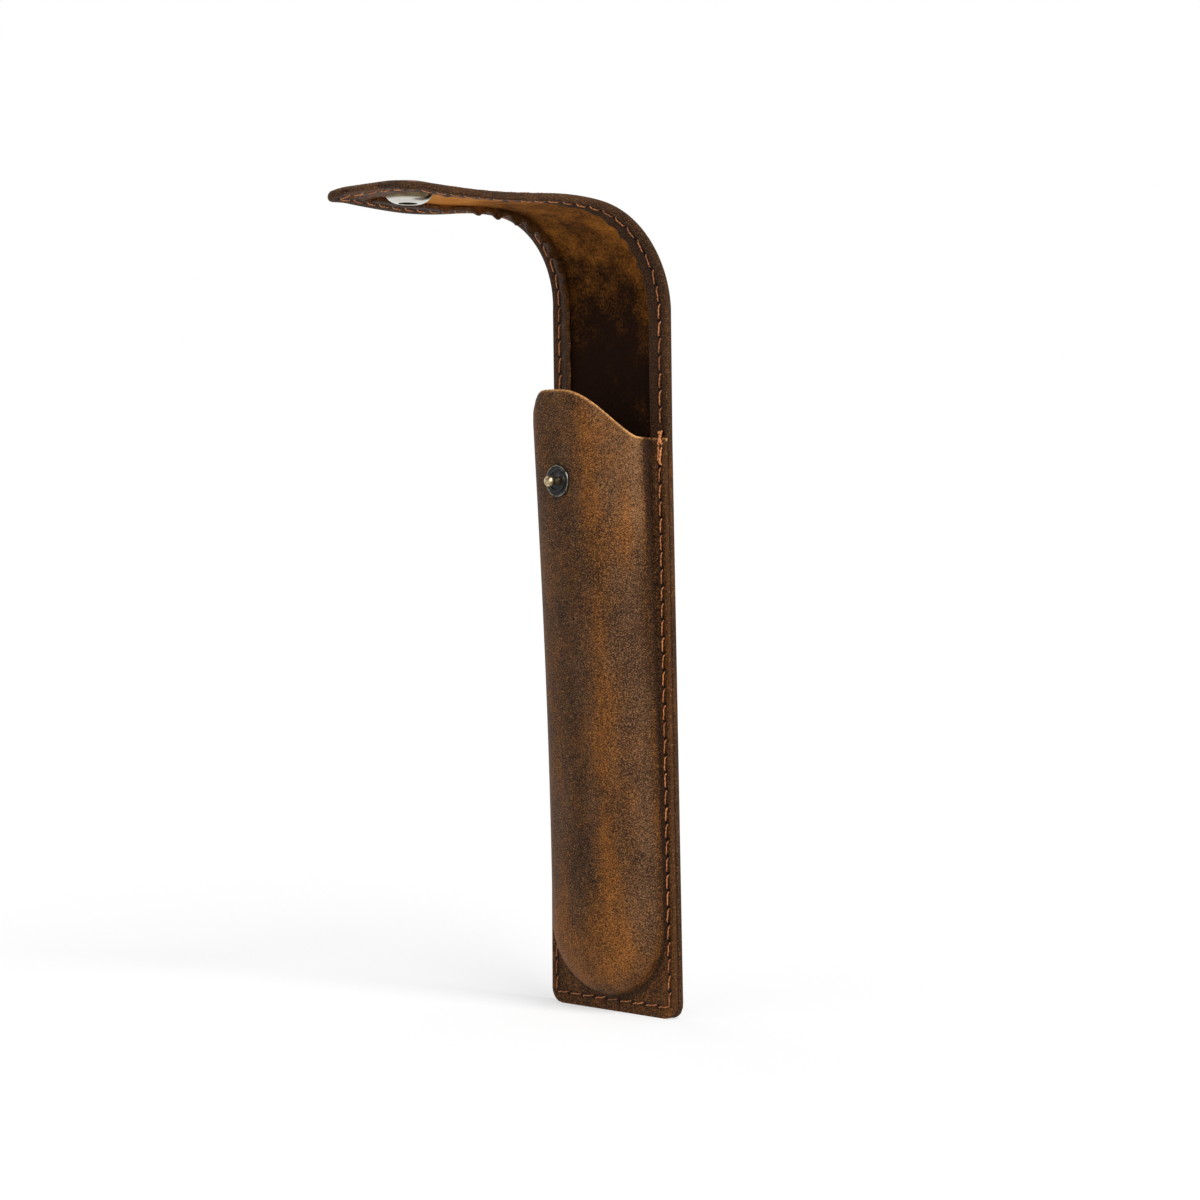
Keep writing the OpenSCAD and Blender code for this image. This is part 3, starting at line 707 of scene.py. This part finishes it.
# The seams are lock stitches of a waxed two-ply thread, one thread on each face, drawn down
# into holes 3.9 mm apart. They close the pocket's sides and bottom and go on round the flap,
# where they hold its folded hems.
thread, shader, start = new_material("waxed_thread")
rust, orange = (0.15, 0.038, 0.01), (0.68, 0.26, 0.085)
place = start.node("ShaderNodeTexCoord", output=3)
wax = place.noise(0.0006, 3, 0.6)
shade = start.named("ply").split(0)
color = (wax * 0.9 + shade * 0.5 - 0.25).step(0.0, 1.0).mix(rust, orange)
bump = {"Height": wax, "Strength": 0.4, "Distance": 0.00008}
plug(shader, Base_Color=color, Roughness=0.6 + wax * 0.2)
plug(shader, Normal=start.node("ShaderNodeBump", None, bump))
ply_r = 0.104
ply_lay = 1.9
sunk_outside = 0.16
rng = np.random.default_rng(5)


def ring_faces(a, b, sides):
    """The faces between two rings of points that start at a and at b."""
    pairs = [(i, (i + 1) % sides) for i in range(sides)]
    return [(a + i, a + k, b + k, b + i) for i, k in pairs]


def tube(path, radius, sides=6):
    """Points and faces of a round tube with closed ends along a path."""
    way = np.gradient(path, axis=0)
    way /= np.linalg.norm(way, axis=1)[:, None]
    first = np.cross(way[0], [0.3, 0.5, 0.81])
    angles = np.arange(sides) * 2 * np.pi / sides
    rings = []
    for point, ahead in zip(path, way):
        first = first - ahead * first.dot(ahead)
        first /= np.linalg.norm(first)
        second = np.cross(ahead, first)
        ring = np.outer(np.cos(angles), first) + np.outer(np.sin(angles), second)
        rings.append(point + radius * ring)
    faces = [tuple(reversed(range(sides)))]
    for j in range(len(path) - 1):
        a = j * sides
        faces += ring_faces(a, a + sides, sides)
    faces.append(tuple(range(a + sides, a + 2 * sides)))
    return np.concatenate(rings), faces


def twisted(path, out, spin, ply=ply_r):
    """Two plies wound round a path, whose outward directions are given."""
    way = np.gradient(path, axis=0)
    way /= np.linalg.norm(way, axis=1)[:, None]
    aside = np.cross(way, out)
    aside /= np.linalg.norm(aside, axis=1)[:, None]
    rise = np.cross(aside, way)
    steps = np.linalg.norm(np.diff(path, axis=0), axis=1)
    angle = spin + np.concatenate([[0], np.cumsum(steps)]) / ply_lay * 2 * np.pi
    plies = []
    for half in (0, np.pi):
        wind = np.cos(angle + half)[:, None] * aside + np.sin(angle + half)[:, None] * rise
        plies.append(tube(path + 0.85 * ply * wind, ply))
    return plies


def stitch(place, along, side, length):
    """A stitch between two holes. place maps (along, across, height) to a point."""
    u = np.linspace(-1, 1, 15)
    slant = 0.24 * side + rng.normal(0, 0.06)
    drift = -slant * np.sin(u * 1.5) + 0.1 * side * np.sin(u * 4.0)
    height = 0.12 + rng.normal(0, 0.03) - 0.2 * np.abs(u) ** 4 - 0.45 * np.abs(u) ** 8
    reach = (0.45 + rng.normal(0, 0.01)) * length
    path = place(along + u * reach, drift, height)
    out = place(along + u * reach, drift, height + 0.1) - path
    return twisted(path, out / np.linalg.norm(out, axis=1)[:, None], rng.uniform(0, 6.28))


def thread_piece(name, parts, pale=0.0):
    """One piece of many tubes, each with its own shade. pale makes all of them paler."""
    points, faces, shades, base = [], [], [], 0
    for part_points, part_faces in parts:
        points.append(part_points)
        faces += [tuple(base + i for i in face) for face in part_faces]
        shades.append(np.full((len(part_points), 3), pale + rng.uniform(0, 1)))
        base += len(part_points)
    looks = {"ply": np.concatenate(shades)}
    return mesh_piece(name, np.concatenate(points), faces, looks, thread, 1.4)


def over_face(face, depth, height):
    """Depth of a point that stands at height over the outer face, or over the depth inside."""
    return strip_t - sunk_outside + height if face else depth - height


def side_stitches(low, high, face, depth=0.0):
    """Stitches of both side seams whose middles lie between low and high."""
    parts = []
    on_pocket = (low_s, side_run, side_count)
    on_flap = (flap_seam_from, flap_run, flap_count)
    for first, run, count in (on_pocket, on_flap):
        for i in range(count):
            s = first + (i + 0.5) * run / count
            for side in (-1, 1) if low <= s < high else ():

                def place(along, across, height, side=side):
                    x = side * seam_half(along) + across
                    return on_strip(x, along, over_face(face, depth, height))

                parts += stitch(place, s, 1 if face else -1, run / count)
    return parts


def cross_stitches(s, count, run, face, depth=0.0):
    """Stitches of a seam across the strip at s."""

    def place(along, across, height):
        return on_strip(along, s + across, over_face(face, depth, height))

    parts, lean = [], 1 if face else -1
    for i in range(count):
        parts += stitch(place, -run / 2 + (i + 0.5) * run / count, lean, run / count)
    return parts


parts = side_stitches(-mouth_h, -tack_l, 0, -front_t)
parts += cross_stitches(low_s, low_count, low_run, 0, -front_t)
pocket_seam = thread_piece("pocket_seam", parts)
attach(pocket_seam, "sleeve")
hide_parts("pocket_stitches")
seam_cuts = [-mouth_h, *bend_marks[1:3], flap_l]
inner_nodes = [["riser_stitches", "flap_stitches_1"], ["flap_stitches_2"], ["flap_stitches_3"]]
outer_nodes = [["back_stitches", "flap_back_stitches_1"]]
outer_nodes += [["flap_back_stitches_2"], ["flap_back_stitches_3"]]
for face, label, nodes in [(0, "inner_seam", inner_nodes), (1, "outer_seam", outer_nodes)]:
    for k in range(3):
        low = 0 if face == 0 and k == 0 else seam_cuts[k]
        parts = side_stitches(low, seam_cuts[k + 1], face)
        if face == 1 and k == 0:
            parts += cross_stitches(low_s, low_count, low_run, 1)
        if k == 2:
            parts += cross_stitches(flap_end_s, end_count, end_run, face)
        # The inner seams on the bend and the flap are painted paler than those on the riser:
        # painted light, as on the suede there.
        seam = thread_piece(f"{label}_{k + 1}", parts, 0.3 if face == 0 and k > 0 else 0.0)
        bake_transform(seam)
        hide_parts(*nodes[k])

# At each corner of the mouth a tack of the same thread crosses over the front's raw edge, then
# steps down doubled, so that pulling the mouth open doesn't tear the seam.
crossed_r, doubled_r = 0.17, 0.15
cross_drop, step_drop = 2.9, 3.7
for side, name in [(-1, "tack_left"), (1, "tack_right")]:
    parts = []
    u = np.linspace(0, 1, 26)
    front_out = np.tile([0.0, -1.0, 0.0], (len(u), 1))
    # Two threads cross over the raw edge, from the riser down onto the front.
    for k, (bow_a, bow_b) in enumerate([(-0.5, 0.42), (0.5, -0.42)]):
        z = mouth_h + 1.4 + 0.15 * k - u * (cross_drop + 0.2 * k)
        over = smooth((mouth_h + 0.75 - z) / 0.7)
        sunk = 0.35 * smooth((u - 0.93) / 0.07) + 0.3 * smooth((0.07 - u) / 0.07)
        bow = bow_a + (bow_b - bow_a) * u
        above = -0.24 - over * (front_t - corner_press(mouth_h)) - 0.12 * k
        x = side * (seam_half(z - mouth_h) - 0.5 * (1 - over)) + bow
        parts += twisted(np.stack([x, above + sunk, z], -1), front_out, 2.1 * k, crossed_r)
    # Two more lie side by side below them, and a pair holds them on the back.
    for k in (-1, 1):
        z = mouth_h - 2.1 - 0.15 * k - u * (step_drop + 0.3 * k)
        sunk = 0.4 * smooth((u - 0.88) / 0.12) + 0.4 * smooth((0.12 - u) / 0.12)
        x = side * seam_half(z - mouth_h) + 0.38 * k + 0.3 * (u - 0.5) + 0.1 * np.sin(5 * u + k)
        y = sunk + corner_press(z) - front_t - 0.27
        parts += twisted(np.stack([x, y, z], -1), front_out, k, doubled_r)
    z = np.linspace(mouth_h - 0.2, mouth_h - tack_l + 0.3, len(u))
    for k in (-1, 1):
        x = side * seam_half(z - mouth_h) + 0.35 * k
        y = strip_t + 0.12 - 0.4 * smooth((np.abs(z - z.mean()) - 2.4) / 0.6)
        parts += twisted(np.stack([x, y, z], -1), -front_out, k)
    tack = thread_piece(name, parts, 0.35)
    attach(tack, "sleeve")
    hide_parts("mouth_tack_left" if side < 0 else "mouth_tack_right")

# The stud is a rivet with a ball, set through a blackened steel washer with a rolled rim and a
# raised bead, and the rim carries a painted highlight. Inside the pocket it is spread over a
# plain washer.
dark_metal, shader, start = new_material("blackened_steel")
black, grey, rim_highlight = (0.018, 0.017, 0.017), (0.10, 0.095, 0.09), (0.17, 0.16, 0.13)
place = start.node("ShaderNodeTexCoord", output=3)
worn = place.noise(0.0012, 4, 0.65)
color = worn.step(0.5, 0.75).mix(black, grey)
# Painted highlight: pale steel in patches on the washer's rolled rim.
color = (start.named("bright_band").split(0) * worn.step(0.3, 0.55)).mix(color, rim_highlight)
plug(shader, Base_Color=color, Metallic=0.85, Roughness=0.2 + worn * 0.2)
brass, shader, start = new_material("rubbed_brass")
tarnished, polished = (0.20, 0.145, 0.075), (0.62, 0.50, 0.30)
place = start.node("ShaderNodeTexCoord", output=3)
worn = place.noise(0.0009, 4, 0.6)
plug(shader, Base_Color=worn.step(0.35, 0.7).mix(tarnished, polished))
plug(shader, Metallic=1.0, Roughness=0.22 + worn * 0.2)


def turned(name, profile, centre, axis, material, worn=(0, 0), sides=64):
    """A piece turned on a lathe. The profile is (radius, height) along the axis from centre.

    The finish is coloured brighter where the radius lies between the two of worn: on the washer
    that is a painted highlight.
    """
    axis = Vector(axis).normalized()
    first = axis.orthogonal().normalized()
    second = axis.cross(first)
    points, faces = [], []
    for r, h in profile:
        for i in range(sides):
            a = 2 * math.pi * i / sides
            out = first * math.cos(a) + second * math.sin(a)
            points.append(list(Vector(centre) + axis * h + out * r))
    for j in range(len(profile)):
        faces += ring_faces(j * sides, (j + 1) % len(profile) * sides, sides)
    bright = [float(worn[0] <= r <= worn[1]) for r, h in profile for i in range(sides)]
    looks = {"bright_band": np.stack([bright, bright, bright], -1)}
    return mesh_piece(name, points, faces, looks, material, 0.6)


def dress(node, material):
    """Gives a solid that is shown as it is the look of a material."""
    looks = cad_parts[node].data.materials
    looks.clear()
    looks.append(material)


front_way = (0.0, -1.0, 0.0)
washer_at = (0, seat_y, stud_z)
bead_at, bead_r, bead_h = 2.45, 0.3, 0.5
bead_turns = np.linspace(math.pi, 0, 9)
bead = [(bead_at + bead_r * math.cos(a), bead_h + bead_r * math.sin(a)) for a in bead_turns]
profile = [(1.05, 0.0), (1.05, 0.5)] + bead + [(3.2, 0.46), (3.35, 0.5)]
profile += [(3.5, 0.58), (3.68, 0.56), (3.78, 0.42), (3.8, 0.2), (3.72, 0.02)]
washer = turned("stud_washer", profile[::-1], washer_at, front_way, dark_metal, (3.45, 3.72))
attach(washer, "sleeve")
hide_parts("stud_base")
ball_r, ball_h = 1.3, 2.8
ball_turns = np.radians(np.arange(-48, 76, 8))
ball = [(ball_r * math.cos(a), ball_h + ball_r * math.sin(a)) for a in ball_turns]
profile = [(0.02, -1.85), (1.5, -1.85), (1.5, -1.6), (1.0, -1.55), (1.0, 0.5), (0.85, 0.9)]
profile += ball + [(0.4, 4.02), (0.22, 3.94), (0.02, 3.92)]
rivet = turned("stud_rivet", profile[::-1], washer_at, front_way, brass)
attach(rivet, "sleeve")
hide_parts("stud_post")
dress("stud_backing", dark_metal)

# The snap's socket is a pressed brass dish, nickelled, coloured silver on its face and dark
# brass on its wall and rim. A split ring of spring wire inside it grips the ball. The domed cap
# outside has a barrel that goes through the leather and is spread in the socket.
nickel, shader, start = new_material("nickel_and_dark_brass")
dark_rim, brassy, silver = (0.10, 0.072, 0.034), (0.19, 0.15, 0.08), (0.62, 0.60, 0.55)
place = start.node("ShaderNodeTexCoord", output=3)
worn = place.noise(0.0026, 4, 0.6)
color = worn.step(0.3, 0.8).mix(dark_rim, brassy)
color = start.named("bright_band").split(0).mix(color, silver)
plug(shader, Base_Color=color, Metallic=1.0, Roughness=0.16 + worn * 0.16)
profile = [(2.4, 0.0), (5.25, 0.0), (5.3, 0.12), (5.3, 0.45), (5.16, 0.85), (4.85, 1.3)]
profile += [(4.4, 1.72), (3.8, 2.08), (3.2, 2.33), (2.7, 2.46), (2.42, 2.5), (2.25, 2.46)]
profile += [(2.15, 2.33), (2.15, 2.0), (2.35, 1.9), (2.35, 1.1), (2.4, 1.0)]
dish = turned("snap_dish", profile, snap_at, snap_way, nickel, (2.2, 4.5))
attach(dish, "flap_end")
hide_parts("snap_socket")
dress("snap_spring", nickel)
profile = [(1.83, -1.75), (2.28, -1.75), (2.28, 0.0), (5.8, 0.0), (5.98, 0.1), (6.0, 0.3)]
profile += [(5.82, 0.62), (5.4, 0.95), (4.7, 1.24), (3.6, 1.46), (2.2, 1.57), (1.0, 1.6)]
profile += [(0.02, 1.6), (0.02, 1.15), (1.83, 1.15)]
cap = turned("snap_button", profile, on_strip(0.0, snap_s, strip_t), -snap_way, dark_metal)
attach(cap, "flap_end")
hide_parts("snap_cap")

# The studio is a white sweep of paper in a white surround, under a broad soft light from the
# right, with a weak one from the front and one from the left. The camera stands as it did for
# the photo.
half = 4
floor_at = [(-half, -half, 0), (half, -half, 0), (half, half, 0), (-half, half, 0)]
floor_mesh = bpy.data.meshes.new("floor")
floor_mesh.from_pydata(floor_at, [], [(0, 1, 2, 3)])
floor = bpy.data.objects.new("floor", floor_mesh)
bpy.context.scene.collection.objects.link(floor)
paper, shader, start = new_material("white_paper")
plug(shader, Base_Color=(0.5, 0.5, 0.5, 1), Roughness=1.0)
shader.inputs["Specular IOR Level"].default_value = 0.0
shader.inputs["Emission Color"].default_value = (1, 1, 1, 1)
shader.inputs["Emission Strength"].default_value = 0.52
floor_mesh.materials.append(paper)

world = bpy.data.worlds.new("studio")
bpy.context.scene.world = world
world.use_nodes = True
world.node_tree.nodes.clear()
air = Wire(world.node_tree)
seen = air.node("ShaderNodeLightPath", output="Is Camera Ray")
for ray in ("Is Glossy Ray", "Is Transmission Ray"):
    seen = seen.calc("MAXIMUM", seen, air.node("ShaderNodeLightPath", output=ray))
pure_white, on_object, in_view = (1, 1, 1, 1), 0.32, 1.0
lit = air.node("ShaderNodeBackground", None, {"Color": pure_white, "Strength": on_object})
white = air.node("ShaderNodeBackground", None, {"Color": pure_white, "Strength": in_view})
sky = air.node("ShaderNodeMixShader", None, {0: seen, 1: lit, 2: white})
output = world.node_tree.nodes.new("ShaderNodeOutputWorld")
world.node_tree.links.new(sky.socket, output.inputs["Surface"])


def soft_light(name, way, strength, spread):
    """A broad lamp far off in the direction way."""
    lamp = bpy.data.lights.new(name, "SUN")
    lamp.energy, lamp.angle = strength, math.radians(spread)
    made = bpy.data.objects.new(name, lamp)
    made.rotation_euler = Vector(way).to_track_quat("Z", "Y").to_euler()
    bpy.context.scene.collection.objects.link(made)


soft_light("key", (1.0, -0.2, 0.75), 3.0, 40)
soft_light("front_fill", (-0.1, -1.0, 0.5), 0.2, 60)
soft_light("left_rim", (-0.95, 0.1, 0.5), 0.5, 50)

az, pitch, tilt = math.radians(46.0), math.radians(3.212), math.radians(-0.703)
level_right = Vector((math.cos(az), math.sin(az), 0))
ahead = Vector((-math.sin(az), math.cos(az), 0))
up = Vector((0, 0, 1))
look = ahead * math.cos(pitch) - up * math.sin(pitch)
above = up * math.cos(pitch) + ahead * math.sin(pitch)
right = level_right * math.cos(tilt) + above * math.sin(tilt)
above = above * math.cos(tilt) - level_right * math.sin(tilt)
lens = bpy.data.cameras.new("camera")
lens.lens, lens.sensor_width = 111.0, 36.0
lens.clip_start = 0.01
camera = bpy.data.objects.new("camera", lens)
aside, eye_h, distance = -2.779, 97.352, 871.519
spot = (level_right * aside + up * eye_h - look * distance) * mm
turn = Matrix((right, above, -look)).transposed().to_4x4()
camera.matrix_world = Matrix.Translation(spot) @ turn
bpy.context.scene.collection.objects.link(camera)
bpy.context.scene.camera = camera
bpy.context.scene.view_settings.view_transform = "Standard"

bpy.context.view_layer.update()
